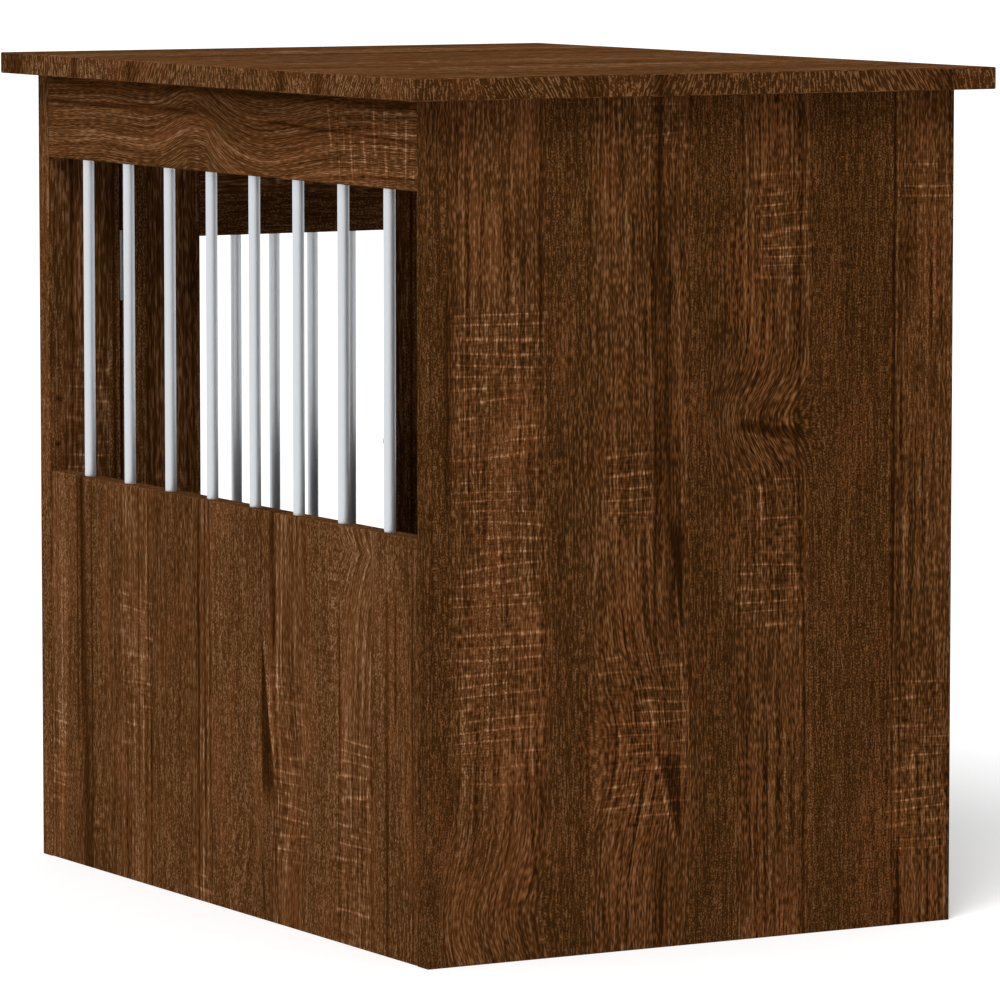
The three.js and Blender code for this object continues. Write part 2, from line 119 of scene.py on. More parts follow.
class Graph:
    """Adds nodes to one tree."""

    def __init__(self, tree):
        self.tree = tree
        tree.nodes.clear()

    def node(self, kind, inputs, **settings):
        """A node with its settings, and its inputs set to numbers or linked to terms."""
        node = self.tree.nodes.new(kind)
        for name, value in settings.items():
            setattr(node, name, value)
        for key, value in inputs.items():
            if isinstance(value, Term):
                self.tree.links.new(value.socket, node.inputs[key])
            else:
                node.inputs[key].default_value = value
        return node

    def math(self, operation, *values):
        node = self.node("ShaderNodeMath", dict(enumerate(values)), operation=operation)
        return Term(self, node.outputs[0])

    def smooth(self, value, low, high):
        """0 below low and 1 above high, with a smooth rise between; low may be the larger."""
        inputs = {"Value": value, "From Min": low, "From Max": high}
        node = self.node("ShaderNodeMapRange", inputs, interpolation_type="SMOOTHSTEP")
        return Term(self, node.outputs["Result"])

    def clamp(self, value):
        return Term(self, self.node("ShaderNodeClamp", {"Value": value}).outputs[0])

    def mix(self, share, first, second):
        """A number between two others."""
        node = self.node("ShaderNodeMix", {0: share, 2: first, 3: second})
        return Term(self, node.outputs[0])

    def blend(self, share, first, second):
        """A colour between two others."""
        inputs = {0: share, 6: first, 7: second}
        node = self.node("ShaderNodeMix", inputs, data_type="RGBA")
        return Term(self, node.outputs[2])

    def vector(self, x, y, z):
        node = self.node("ShaderNodeCombineXYZ", {"X": x, "Y": y, "Z": z})
        return Term(self, node.outputs[0])

    def parts(self, vector):
        """The X, Y and Z of a vector."""
        node = self.node("ShaderNodeSeparateXYZ", {0: vector})
        return [Term(self, output) for output in node.outputs]

    def noise(self, place, detail=2.0, roughness=0.5):
        """Smooth noise about 0, from -1 to 1 and mostly within a half."""
        inputs = {"Vector": place, "Scale": 1.0, "Detail": detail, "Roughness": roughness}
        node = self.node("ShaderNodeTexNoise", inputs)
        return Term(self, node.outputs["Fac"]) * 2.0 - 1.0

    def ramp(self, value, stops):
        """A colour from a list of (place, colour) stops."""
        node = self.node("ShaderNodeValToRGB", {"Fac": value})
        elements = node.color_ramp.elements
        while len(elements) < len(stops):
            elements.new(0.5)
        for element, (place, colour) in zip(elements, stops):
            element.position = place
            element.color = colour
        return Term(self, node.outputs["Color"])

    def coordinates(self, kind):
        node = self.node("ShaderNodeTexCoord", {})
        return Term(self, node.outputs[kind])


def linear(code):
    """A colour for a shader from a six-digit sRGB code."""
    shares = [int(code[i : i + 2], 16) / 255 for i in (0, 2, 4)]
    curve = [c / 12.92 if c <= 0.04045 else ((c + 0.055) / 1.055) ** 2.4 for c in shares]
    return (*curve, 1.0)


def new_material(name):
    material = bpy.data.materials.new(name)
    material.use_nodes = True
    return material, Graph(material.node_tree)


def finish_surface(graph, inputs, height=None, relief=0.0):
    """Ends a material in a Principled shader; height is a term, in units of relief metres."""
    if height is not None:
        bump_inputs = {"Strength": 1.0, "Distance": relief, "Height": height}
        bump = graph.node("ShaderNodeBump", bump_inputs)
        inputs = {**inputs, "Normal": Term(graph, bump.outputs[0])}
    shader = graph.node("ShaderNodeBsdfPrincipled", inputs)
    output = graph.node("ShaderNodeOutputMaterial", {})
    graph.tree.links.new(shader.outputs[0], output.inputs["Surface"])


# ---------------------------------------------------------------- dark oak

# From the open pores to the bright fibres of the print
OAK_STOPS = [
    (0.00, linear("241206")),
    (0.25, linear("3d240e")),
    (0.50, linear("58371c")),
    (0.75, linear("7d5a3c")),
    (1.00, linear("b08d6e")),
]
OAK_WARM = linear("8c4f2c")
OAK_WORN = linear("94704f")
OAK_RELIEF = 0.1 * MM
OAK_SPECULAR = 0.0  # the finish is dead matt, with no haze where it is seen along the board
OAK_ROUGHNESS = 0.66
FIGURE_GLOSS = 0.14  # how much less rough the bright fibres are
SAW_PITCH = 12.5 * MM

WANDER = 5 * MM  # how far the grain strays in long waves
RIPPLE = 0.9 * MM  # and in short ones

# How far the edge of each form in the print fades
BAND_FADE = 8 * MM
MARKS_FADE = 12 * MM
STREAK_FADE = 16 * MM
SWELL_FADE = 24 * MM
HOOK_FADE = 4 * MM
CRACK_FADE = 4 * MM
WEDGE_FADE = 0.12  # as a share of the wedge's length

# How dark each form is printed
STREAK_DARK = 0.7
WEDGE_DARK = 0.9
KNOT_DARK = 1.2
CRACK_DARK = 0.8
EDGE_STREAK_DARK = 0.6

STREAK_CORE = 0.8  # the half width of a streak's dark core, as a share of the streak's
CRACK_HALF_WIDTH = 5 * MM
CRACK_RIM = 5.5 * MM  # from the middle of the crack to its bright rims
CRACK_RIM_HALF_WIDTH = 1.3 * MM
CRACK_RIM_LIGHT = 1.4

# The layers of the print: how much each adds to the lightness
BASE_LIGHT = 0.2
FIGURE_LIGHT = 0.46
TONE_LIGHT = 0.12
BAND_TONE_LIGHT = 0.26  # what the tone layer adds more in the sawn bands
SHADE_LIGHT = 0.08
BAND_LIGHT = 0.03
WEAVE_LIGHT = 0.16
MARK_LIGHT = (0.24, 0.1)  # with the figure, and by itself
RIM_LIGHT = (0.16, 0.04)

FIGURE_MIDDLE = 0.06  # the noise that comes out halfway from dark to light

# How much each makes the colour warmer
TINT_WARMTH = 0.14
BAND_WARMTH = 0.05
MARK_WARMTH = 0.12

ARRIS_WEAR = 0.1
ARRIS_REACH = (1.1 * MM, 0.2 * MM)  # from where the wear begins to where it is full

FACING = (0.4, 0.6)  # how much a face turns to an axis, from not facing it to facing it
EDGE_OVER_SCALE = 0.8  # how fine the edge bands' print is over the grain
EDGE_WITH_SCALE = 1.3  # and along it
EDGE_SOFTNESS = 0.11
SHORT_EDGE_DARKER = 0.1  # how much darker the edge bands of the short sides are


def oak_print():
    """A node group with the layers of the oak print. Across and Deep run over the grain and
    Along runs with it, all in metres."""
    tree = bpy.data.node_groups.new("oak_print", "ShaderNodeTree")
    for name in ("Across", "Deep", "Along"):
        tree.interface.new_socket(name, in_out="INPUT", socket_type="NodeSocketFloat")
    for name in ("Lines", "Strokes", "Grains", "Tone", "Shade", "Tint", "Weave", "Saw"):
        tree.interface.new_socket(name, in_out="OUTPUT", socket_type="NodeSocketFloat")
    graph = Graph(tree)
    start = graph.node("NodeGroupInput", {})
    across, deep, along = [Term(graph, start.outputs[i]) for i in range(3)]

    def layer(over, with_grain, detail=0.0):
        """Noise that changes so many times a metre over the grain and along it."""
        place = graph.vector(across * over, deep * over, along * with_grain)
        return graph.noise(place, detail)

    # saw marks: teeth at a wavering pitch, each as long as the patch it falls in
    weave = layer(120, 520)
    phase = along / SAW_PITCH + layer(7, 26) * 1.2 + weave * 0.05
    tooth = graph.math("PINGPONG", phase, 0.5) * 2.0
    saw = graph.smooth(tooth, 0.7, 0.96) * graph.smooth(layer(26, 62), -0.3, 0.12)
    results = {
        "Lines": layer(820, 24, 1.0),
        "Strokes": layer(900, 130),
        "Grains": layer(1000, 540),
        "Tone": layer(300, 4, 1.0),
        "Shade": layer(15, 1.4, 1.0),
        "Tint": layer(40, 8),
        "Weave": weave,
        "Saw": saw,
    }
    graph.node("NodeGroupOutput", results)
    return tree


OAK_PRINT = oak_print()

AXES = "XYZ"


@dataclass
class Board:
    """What stands out in one board's print. Places are millimetres over the grain and, where
    there is a from and a to, along it, both in the table's frame."""

    grain: str  # the axis that the grain runs along
    granular: float = 0.8  # how far short grains take over from long fibres outside the bands
    tone: float = 0.0  # how much lighter the whole board is
    over_scale: float = 1.0  # how fine the print is over the grain
    with_scale: float = 1.0  # and along it
    softness: float = 0.3  # how gently the figure goes from dark to light
    marking: float = 1.0  # how strongly the saw marks show
    bands: tuple = ()  # sawn bands of long fibres: (place, half width, marks from, to)
    tones: tuple = ()  # broad lighter or darker stretches: (place, half width, change)
    streaks: tuple = ()  # dark streaks: (place, half width, from, to, drift per mm along)
    wedges: tuple = ()  # dark wedges: (place of the tip, along, width at the open end, along)
    swells: tuple = ()  # the grain bows: (along, half length, by how much, over, from and to)
    hooks: tuple = ()  # the grain bends sharply: (along, half length, by how much, from, to)
    dots: tuple = ()  # knots too small to turn the grain: (place, along, radius)
    crack: tuple = ()  # (from, to, along, slope)
    edge_streaks: tuple = ()  # on the upright edges: (x + y, half width)
    edge_slants: tuple = ()  # diagonal figure there: (x + y, half width, slope)
    upright_edges: bool = False  # the edge bands' print stands upright


def window(graph, value, low, high, soft):
    """1 between two values and 0 outside them."""
    rise = graph.smooth(value, low - soft, low + soft)
    return rise * graph.smooth(value, high + soft, high - soft)


def bell(graph, value, place, half_width):
    """1 at a place, and falling off to nothing at about twice the half width."""
    offset = (value - place) / half_width
    return graph.math("EXPONENT", 0.0 - offset * offset)


def edge_wear(graph, name):
    """1 on the arrises of a board, where two of its faces meet, and 0 on its faces."""
    low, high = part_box(name)
    gaps = []
    for axis, place in enumerate(graph.parts(graph.coordinates("Object"))):
        middle, half = (low[axis] + high[axis]) / 2, (high[axis] - low[axis]) / 2
        gaps.append(half - graph.math("ABSOLUTE", place - middle))
    first, second, third = gaps
    lesser = graph.math("MINIMUM", first, second)
    greater = graph.math("MAXIMUM", first, second)
    middle_gap = graph.math("MAXIMUM", lesser, graph.math("MINIMUM", greater, third))
    return graph.smooth(middle_gap, *ARRIS_REACH)


def facing_axis(graph, axis):
    """1 where a face looks along an axis, either way, and 0 where it doesn't."""
    normal = graph.parts(graph.coordinates("Normal"))[axis]
    return graph.smooth(graph.math("ABSOLUTE", normal), *FACING)


def edge_print(graph, board, place, foot, coordinates):
    """Stands the print upright on the edge bands. Returns 1 on the faces and 0 on the edges, the
    run round the edges, and the coordinates across, deep and along the grain."""
    across, deep, along = coordinates
    on_face = facing_axis(graph, 2)
    run = place[0] + place[1]
    slant = 0.0
    for at, half, slope in board.edge_slants:
        slant = bell(graph, run, at * MM, half * MM) * slope + slant
    leaning = run + (place[2] - foot) * slant
    across = graph.mix(on_face, leaning * EDGE_OVER_SCALE, across)
    deep = graph.mix(on_face, 0.0, deep)
    along = graph.mix(on_face, place[2] * EDGE_WITH_SCALE, along)
    return on_face, run, (across, deep, along)


def bent_grain(graph, board, coordinates, shift):
    """Where across the board the grain of a point would run if it were straight. It wanders,
    bows over swells and bends at hooks. Returns also the short waves, for ragged outlines."""
    across, deep, along = coordinates
    wander = graph.noise(graph.vector(across * 8 + shift, deep * 8, along * 2.2), 1.0)
    ripple = graph.noise(graph.vector(across * 70 + shift, deep * 70, along * 22), 1.0)
    grain = across + wander * WANDER + ripple * RIPPLE
    for level, half, lift, first, last in board.swells:
        reach = window(graph, across, first * MM, last * MM, SWELL_FADE)
        grain = grain - bell(graph, along, level * MM, half * MM) * reach * (lift * MM)
    for level, half, lift, first, last in board.hooks:
        reach = window(graph, across, first * MM, last * MM, HOOK_FADE)
        distance = graph.math("ABSOLUTE", along - level * MM) / (half * MM)
        grain = grain - graph.math("EXPONENT", 0.0 - distance) * reach * (lift * MM)
    return grain, ripple


def sawn_bands(graph, board, grain, along):
    """How much a point lies in the sawn bands, and how much where they have saw marks."""
    light = 0.0
    saw = 0.0
    for at, half, start, end in board.bands:
        band = window(graph, grain, (at - half) * MM, (at + half) * MM, BAND_FADE)
        light = band + light
        saw = band * window(graph, along, start * MM, end * MM, MARKS_FADE) + saw
    return light, saw


def dark_forms(graph, board, across, along, ripple):
    """How dark the streaks, wedges, knots and crack make a point, and how much it lies on the
    bright rims of the wedges and the crack."""
    dark = 0.0
    rim = 0.0
    for at, half, start, end, drift in board.streaks:
        line = at * MM + (along - start * MM) * drift
        streak = bell(graph, across + ripple * MM - line, 0.0, half * STREAK_CORE * MM)
        reach = window(graph, along, start * MM, end * MM, STREAK_FADE)
        dark = streak * reach * STREAK_DARK + dark
    for at, tip, width, end in board.wedges:
        share = (along - tip * MM) / ((end - tip) * MM)
        inside = (across + ripple * (1.6 * MM) - at * MM) / (width * MM)
        body = window(graph, share, 0.0, 1.0, WEDGE_FADE)
        body = body * graph.smooth(inside, -0.1, 0.06) * graph.smooth(share - inside, -0.05, 0.15)
        dark = body * WEDGE_DARK + dark
        rim = bell(graph, share - inside, -0.14, 0.09) * window(graph, share, 0, 1.1, 0.1) + rim
    for at, level, radius in board.dots:
        dot = bell(graph, across, at * MM, radius * MM)
        dark = dot * bell(graph, along, level * MM, radius * MM) * KNOT_DARK + dark
    if board.crack:
        first, last, level, slope = board.crack
        lift = along - level * MM - (across - first * MM) * slope + ripple * (1.5 * MM)
        reach = window(graph, across, first * MM, last * MM, CRACK_FADE)
        dark = bell(graph, lift, 0.0, CRACK_HALF_WIDTH) * reach * CRACK_DARK + dark
        for edge in (-CRACK_RIM, CRACK_RIM):
            bright = bell(graph, lift, edge, CRACK_RIM_HALF_WIDTH)
            rim = bright * reach * CRACK_RIM_LIGHT + rim
    return dark, rim


def print_layers(graph, board, grain, deep, along, shift):
    """The layers of the print, by name, at the scale of one board."""
    group = graph.node("ShaderNodeGroup", {}, node_tree=OAK_PRINT)
    fine_across = grain * board.over_scale + shift
    fine_along = along * board.with_scale + shift
    for key, term in (("Across", fine_across), ("Deep", deep), ("Along", fine_along)):
        graph.tree.links.new(term.socket, group.inputs[key])
    return {output.name: Term(graph, output) for output in group.outputs}


def oak_figure(graph, board, layer, light, softness):
    """Long straight fibres in the sawn bands, with short grains between them."""
    mottle = layer["Shade"] + layer["Tone"] * 0.35 - light * 0.55
    grainy = graph.smooth(mottle, -0.5, 0.05) * board.granular
    fibres = graph.mix(0.5, layer["Lines"], layer["Strokes"])
    grains = fibres * 0.45 + layer["Grains"] * 0.65
    figure = graph.mix(grainy, fibres, grains)
    return graph.smooth(figure, FIGURE_MIDDLE - softness, softness + FIGURE_MIDDLE)


def oak_material(name, board, draw):
    """The oak finish of one board, from the layers of the print and what stands out in it."""
    material, graph = new_material("dark_oak_" + name)
    low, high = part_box(name)
    sizes = high - low
    grain_axis = AXES.index(board.grain)
    deep_axis = min(range(3), key=lambda axis: sizes[axis])
    across_axis = 3 - grain_axis - deep_axis
    place = graph.parts(graph.coordinates("Object"))
    coordinates = (place[across_axis], place[deep_axis], place[grain_axis])
    softness = board.softness
    if board.upright_edges:
        on_face, run, coordinates = edge_print(graph, board, place, low.z, coordinates)
        softness = graph.mix(on_face, EDGE_SOFTNESS, board.softness)
    across, deep, along = coordinates

    shift = draw.uniform(-9, 9)
    grain, ripple = bent_grain(graph, board, coordinates, shift)
    layer = print_layers(graph, board, grain, deep, along, shift)
    light, saw = sawn_bands(graph, board, grain, along)
    dark, rim = dark_forms(graph, board, across, along, ripple)
    if board.upright_edges:
        light = light * on_face
        dark = dark * on_face
        for at, half in board.edge_streaks:
            streak = bell(graph, run, at * MM, half * MM)
            dark = streak * (1.0 - on_face) * EDGE_STREAK_DARK + dark
    light, saw, dark = [graph.clamp(share) for share in (light, saw, dark)]

    figure = oak_figure(graph, board, layer, light, softness)
    marks = layer["Saw"] * saw * board.marking
    tone = layer["Tone"] * (TONE_LIGHT + light * BAND_TONE_LIGHT)
    value = figure * FIGURE_LIGHT + tone + layer["Shade"] * SHADE_LIGHT + BASE_LIGHT
    value = value + light * BAND_LIGHT + layer["Weave"] * saw * WEAVE_LIGHT + board.tone
    for part, (with_figure, alone) in ((marks, MARK_LIGHT), (rim, RIM_LIGHT)):
        value = value + part * (figure * with_figure + alone)
    for at, half, change in board.tones:
        value = value + bell(graph, across, at * MM, half * MM) * change
    if board.upright_edges:
        value = value - facing_axis(graph, 1) * SHORT_EDGE_DARKER
    value = graph.clamp(value * (1.0 - dark * 0.6) - dark * 0.1)

    tint = graph.smooth(layer["Tint"], -0.1, 0.6)
    warmth = graph.clamp(tint * TINT_WARMTH + light * BAND_WARMTH + marks * MARK_WARMTH)
    warmth = warmth * graph.smooth(value, 0.05, 0.35)
    wear = edge_wear(graph, name) * graph.smooth(layer["Strokes"], -0.3, 0.4)
    colour = graph.blend(warmth, graph.ramp(value, OAK_STOPS), OAK_WARM)
    inputs = {
        "Base Color": graph.blend(wear * ARRIS_WEAR, colour, OAK_WORN),
        "Roughness": OAK_ROUGHNESS - figure * FIGURE_GLOSS,
        "Specular IOR Level": OAK_SPECULAR,
    }
    finish_surface(graph, inputs, layer["Strokes"], OAK_RELIEF)
    return material


# painted light: every board built by plain_board, most of them inside the crate, is printed lighter so that the
# shade inside comes out less deep
PLAIN_BOARD_PAINTED_LIGHT = 0.035  # how much lighter the boards are that the picture hardly shows


def plain_board(grain, low, high, draw):
    """A board with bands, saw marks and streaks in places of its own."""
    across_axis, along_axis = sorted(range(3), key=lambda axis: low[axis] - high[axis])[:2]
    if AXES[along_axis] != grain:
        across_axis, along_axis = along_axis, across_axis
    first, last = low[across_axis] / MM, high[across_axis] / MM
    start, end = low[along_axis] / MM, high[along_axis] / MM
    bands, streaks = [], []
    place = first + draw.uniform(5, 60)
    while place < last:
        saw_start = draw.uniform(start, (start + end) / 2)
        saw_end = saw_start + draw.uniform(0.25, 0.5) * (end - start)
        bands.append((place, draw.uniform(15, 25), saw_start, saw_end))
        streaks.append((place + draw.uniform(30, 45), draw.uniform(1, 3), start, end, 0.0))
        place += draw.uniform(85, 125)
    return Board(grain, tone=PLAIN_BOARD_PAINTED_LIGHT, bands=tuple(bands), streaks=tuple(streaks))


# The boards whose print is given one by one. Every other board gets a print of its own from
# plain_board.
SEEN_BOARDS = {
    "back_panel": Board(
        "Z",
        granular=0.7,
        over_scale=0.95,
        with_scale=1.5,
        softness=0.24,
        bands=(
            (152, 33, 118, 435),
            (54, 19, 282, 340),
            (46, 34, 84, 200),
            (-58, 27, 210, 320),
            (-180, 24, 50, 170),
            (28, 18, 530, 565),
            (-70, 20, 445, 520),
            (-181, 21, 490, 525),
        ),
        streaks=(
            (32, 2.2, 195, 460, 0.0),
            (30, 1.3, 450, 575, -0.02),
            (19, 4.6, 215, 575, 0.03),
            (27, 5, -10, 60, 0.0),
            (-81, 1.6, 350, 575, -0.01),
            (-84, 2.4, 230, 345, 0.04),
            (-86, 1.4, -10, 220, 0.0),
            (-157, 1.7, 200, 470, 0.0),
            (-157, 1, -10, 575, 0.0),
            (-163, 1.1, -10, 480, 0.0),
            (-161, 2.6, -10, 60, 0.0),
            (120, 1.1, 370, 575, 0.0),
            (119, 2, 82, 125, 0.0),
            (121, 1.6, 40, 130, 0.1),
            (191, 2.4, 300, 450, 0.0),
        ),
        wedges=((12, 68, 18, 130), (10, 208, 11, 284)),
        # painted shade: the whole back panel is printed darker, standing in for the dimmer light that falls on the
        # back
        tone=-0.06,
        tones=((-120, 110, -0.04), (130, 80, 0.02)),
        swells=((140, 62, -17, 12, 72), (30, 40, 14, 118, 205), (352, 26, 20, -84, -22)),
        crack=(-83, -33, 341, 0.16),
    ),
    "side_panel_right": Board(
        "Z",
        granular=0.6,
        with_scale=1.35,
        softness=0.31,
        # painted light: the whole barred side is printed lighter, standing in for the brighter light that falls on
        # it
        tone=0.06,
        bands=(
            (-262, 14, 40, 120),
            (-128, 16, 112, 215),
            (-150, 10, 95, 215),
            (-32, 13, 0, 25),
            (92, 24, 45, 178),
            (187, 25, -10, 145),
        ),
        streaks=(
            (-275, 1.3, -10, 290, 0.0),
            (-231, 1.8, 90, 290, 0.0),
            (-224, 1.8, 100, 290, 0.0),
            (-215, 6, -10, 290, -0.03),
            (-208, 1.6, -10, 290, 0.0),
            (-133, 1.3, 60, 290, 0.0),
            (-118, 1.6, 165, 290, 0.0),
            (-114, 2, 90, 130, 0.0),
            (-114, 1.2, -10, 110, 0.0),
            (-40, 2.2, -10, 290, 0.0),
            (-30, 1, 60, 290, 0.0),
            (-23, 0.9, 60, 290, 0.0),
            (73, 4.6, 190, 290, -0.03),
            (60, 1.8, -10, 50, -0.1),
            (80, 1.6, -10, 60, -0.1),
            (167, 1.5, 110, 215, 0.0),
            (233, 2, -10, 240, 0.0),
            (245, 2.2, 165, 245, 0.0),
            (268, 1.2, -10, 250, 0.0),
        ),
        wedges=((55, 198, 20, 88), (56, 196, 12, 120)),
        swells=((20, 62, -14, -245, -200), (92, 46, 14, 84, 122), (60, 40, 14, 15, 52)),
        hooks=((266, 26, 22, 158, 214),),
    ),
    "side_rail_right": Board(
        "Y",
        granular=0.0,
        over_scale=1.8,
        with_scale=0.9,
        tone=0.035,
        marking=1.2,
        bands=((541, 26, 150, 275),),
        # the dark streaks at 567 and 552, just under the tabletop, are partly dark grain and partly painted shadow
        # from the tabletop's overhang
        streaks=((567, 4, -275, 275, 0.0), (552, 2.2, -280, -40, 0.0), (549, 1.4, 60, 275, -0.03)),
        swells=((-46, 40, 16, 400, 700), (60, 70, -11, 400, 700), (-190, 70, 4, 400, 700)),
        hooks=((-24, 22, 7, 505, 548),),
    ),
    "tabletop": Board(
        "X",
        granular=0.4,
        tone=0.1,
        tones=(
            (240, 30, -0.05),
            (98, 25, -0.04),
            (-60, 45, 0.03),
            (-150, 35, -0.06),
            (-290, 25, -0.05),
        ),
        bands=((150, 30, -150, 150), (28, 14, -60, 120), (-200, 30, -100, 160)),
        streaks=(
            (240, 3, 40, 225, 0.0),
            (212, 1.5, -225, 60, 0.0),
            (98, 2.5, -120, 225, 0.02),
            (-74, 2.5, -225, 100, 0.0),
            (-150, 4, -225, 160, -0.02),
            (-296, 3, -100, 225, 0.0),
        ),
        edge_streaks=((125, 8), (350, 6), (402, 7), (-62, 18), (35, 5)),
        edge_slants=((155, 45, -0.7), (450, 40, -0.7), (340, 30, 0.5)),
        upright_edges=True,
    ),
    "front_stile_right": Board(
        "Z",
        bands=((172, 16, 60, 380),),
        tones=((180, 60, 0.08),),
        streaks=((152, 2, 0, 571, 0.0), (186, 2, 0, 571, 0.0)),
        dots=((197, 335, 2.4), (198, 302, 2)),
    ),
}
LENGTHWISE = {
    "side_rail_left": "Y",
    "front_rail_top": "X",
    "front_rail_bottom": "X",
    "door_rail_top": "X",
    "door_rail_bottom": "X",
    "floor_board": "Y",
    "floor_cleat_left": "Y",
    "floor_cleat_right": "Y",
    "top_batten_left": "Y",
    "top_batten_right": "Y",
}
UPRIGHT = ("side_panel_left", "front_stile_left", "door_stile_latch", "door_stile_hinge")


def finish_boards():
    """Gives every board its own print."""
    grains = {**LENGTHWISE, **dict.fromkeys(UPRIGHT, "Z")}
    names = list(SEEN_BOARDS) + sorted(grains)
    for order, name in enumerate(names):
        draw = random.Random(order)
        board = SEEN_BOARDS.get(name) or plain_board(grains[name], *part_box(name), draw)
        nodes[name].data.materials.clear()
        nodes[name].data.materials.append(oak_material(name, board, draw))


# ---------------------------------------------------------------- metals


CLOUD_SCALE = 70  # changes a metre
SPECK_SCALE = 900
METAL_RELIEF = 0.008 * MM
METAL_SHADE = 0.86  # the darker places of a metal, as a share of its colour


def metal_material(name, colour, roughness, grain, speckle=0.0, metallic=1.0, stretch=0.0):
    """Brushed or plated metal; grain is how finely it is brushed along X, Y and Z, per metre."""
    material, graph = new_material(name)
    place = graph.parts(graph.coordinates("Object"))

    def scaled(scales):
        return graph.vector(*[axis * scale for axis, scale in zip(place, scales)])

    brushed = graph.noise(scaled(grain), 2.0)
    cloud = graph.noise(scaled([CLOUD_SCALE] * 3), 3.0)
    shade = graph.clamp(brushed * 0.35 + cloud * 0.4 + 0.5)
    darker = (*[METAL_SHADE * channel for channel in colour[:3]], 1.0)
    inputs = {
        "Base Color": graph.blend(shade, darker, colour),
        "Roughness": roughness + brushed * 0.05 + cloud * 0.05,
        "Metallic": metallic,
        "Anisotropic": stretch,
    }
    height = brushed + graph.noise(scaled([SPECK_SCALE] * 3)) * speckle
    finish_surface(graph, inputs, height, METAL_RELIEF)
    return material


SATIN = metal_material(
    "satin_steel", linear("dbdfe3"), 0.42, (1500, 1500, 25), metallic=0.85, stretch=0.8
)
PLATED = metal_material("plated_steel", linear("b9bbba"), 0.3, (300, 300, 300), speckle=0.6)
PLATED_TURNED = metal_material("plated_steel_turned", linear("c0c2c2"), 0.22, (900, 80, 80))
ZINC = metal_material("cast_zinc", linear("9b9a97"), 0.45, (500, 500, 500), speckle=2.0)

# ---------------------------------------------------------------- shapes

SOFT_ANGLE = math.radians(32)  # edges that turn less than this are shaded smooth


def turned(profile, sides=48, ring=False):
    """A mesh turned about Z from (radius, height) points. A profile starts and ends on the
    axis, or closes on itself as a ring."""
    shape = bmesh.new()
    loops = []
    for radius, height in profile:
        count = sides if radius > 0 else 1
        turn = 2 * math.pi / sides
        loops.append([
            shape.verts.new((radius * math.cos(k * turn), radius * math.sin(k * turn), height))
            for k in range(count)
        ])
    pairs = list(zip(loops, loops[1:]))
    if ring:
        pairs.append((loops[-1], loops[0]))
    for lower, upper in pairs:
        for k in range(sides):
            corners = [
                lower[k % len(lower)],
                lower[(k + 1) % len(lower)],
                upper[(k + 1) % len(upper)],
                upper[k % len(upper)],
            ]
            shape.faces.new(list(dict.fromkeys(corners)))
    return finished(shape)


def finished(shape):
    """The mesh of a bmesh, with its sharp edges marked."""
    bmesh.ops.recalc_face_normals(shape, faces=shape.faces)
    for face in shape.faces:
        face.smooth = True
    for edge in shape.edges:
        edge.smooth = edge.calc_face_angle(math.pi) < SOFT_ANGLE
    mesh = bpy.data.meshes.new("shape")
    shape.to_mesh(mesh)
    shape.free()
    return mesh


def plate(outline, holes, thickness, bevel):
    """A flat plate in the XY plane, about its middle, with rounded edges and holes."""
    curve = bpy.data.curves.new("outline", "CURVE")
    curve.dimensions = "2D"
    curve.fill_mode = "BOTH"
    curve.extrude = thickness / 2 - bevel
    curve.bevel_depth = bevel
    curve.bevel_resolution = 2
    curve.offset = -bevel
    for points in [outline, *holes]:
        spline = curve.splines.new("POLY")
        spline.points.add(len(points) - 1)
        spline.use_cyclic_u = True
        for point, (x, y) in zip(spline.points, points):
            point.co = (x, y, 0, 1)
    drawn = bpy.data.objects.new("outline", curve)
    mesh = bpy.data.meshes.new_from_object(drawn)
    bpy.data.objects.remove(drawn)
    shape = bmesh.new()
    shape.from_mesh(mesh)
    bmesh.ops.remove_doubles(shape, verts=shape.verts, dist=0.001 * MM)
    return finished(shape)


def arc(centre, radius, start, end, steps=8):
    """Points on an arc, from one angle to another in degrees."""
    angles = [math.radians(start + (end - start) * k / steps) for k in range(steps + 1)]
    return [(centre[0] + radius * math.cos(a), centre[1] + radius * math.sin(a)) for a in angles]


def circle(x, y, radius, steps=32):
    return arc((x, y), radius, 0, 360, steps)[:-1]


def rounded(left, bottom, right, top, corner):
    """The outline of a rectangle with round corners."""
    return [
        *arc((right - corner, bottom + corner), corner, -90, 0),
        *arc((right - corner, top - corner), corner, 0, 90),
        *arc((left + corner, top - corner), corner, 90, 180),
        *arc((left + corner, bottom + corner), corner, 180, 270),
    ]


def cut(mesh, cutter):
    """One mesh less another."""
    whole = bpy.data.objects.new("whole", mesh)
    taken = bpy.data.objects.new("taken", cutter)
    for thing in (whole, taken):
        bpy.context.scene.collection.objects.link(thing)
    boolean = whole.modifiers.new("cut", "BOOLEAN")
    boolean.operation = "DIFFERENCE"
    boolean.solver = "EXACT"
    boolean.object = taken
    graph = bpy.context.evaluated_depsgraph_get()
    shape = bmesh.new()
    shape.from_mesh(whole.evaluated_get(graph).to_mesh())
    for thing in (whole, taken):
        bpy.data.objects.remove(thing)
    return finished(shape)


def joined(parts):
    """One mesh from (mesh, matrix) pairs."""
    shape = bmesh.new()
    for mesh, matrix in parts:
        part = mesh.copy()
        part.transform(matrix)
        shape.from_mesh(part)
    return finished(shape)


def add_piece(name, mesh, material, body, replaced=(), place=Matrix.Identity(4)):
    """A piece in its place, riding on a body."""
    piece_mesh = mesh.copy()
    piece_mesh.name = name
    piece_mesh.transform(place)
    piece_mesh.materials.clear()
    piece_mesh.materials.append(material)
    piece = bpy.data.objects.new(name, piece_mesh)
    bpy.context.scene.collection.objects.link(piece)
    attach(piece, body)
    if replaced:
        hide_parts(*replaced)
    return piece


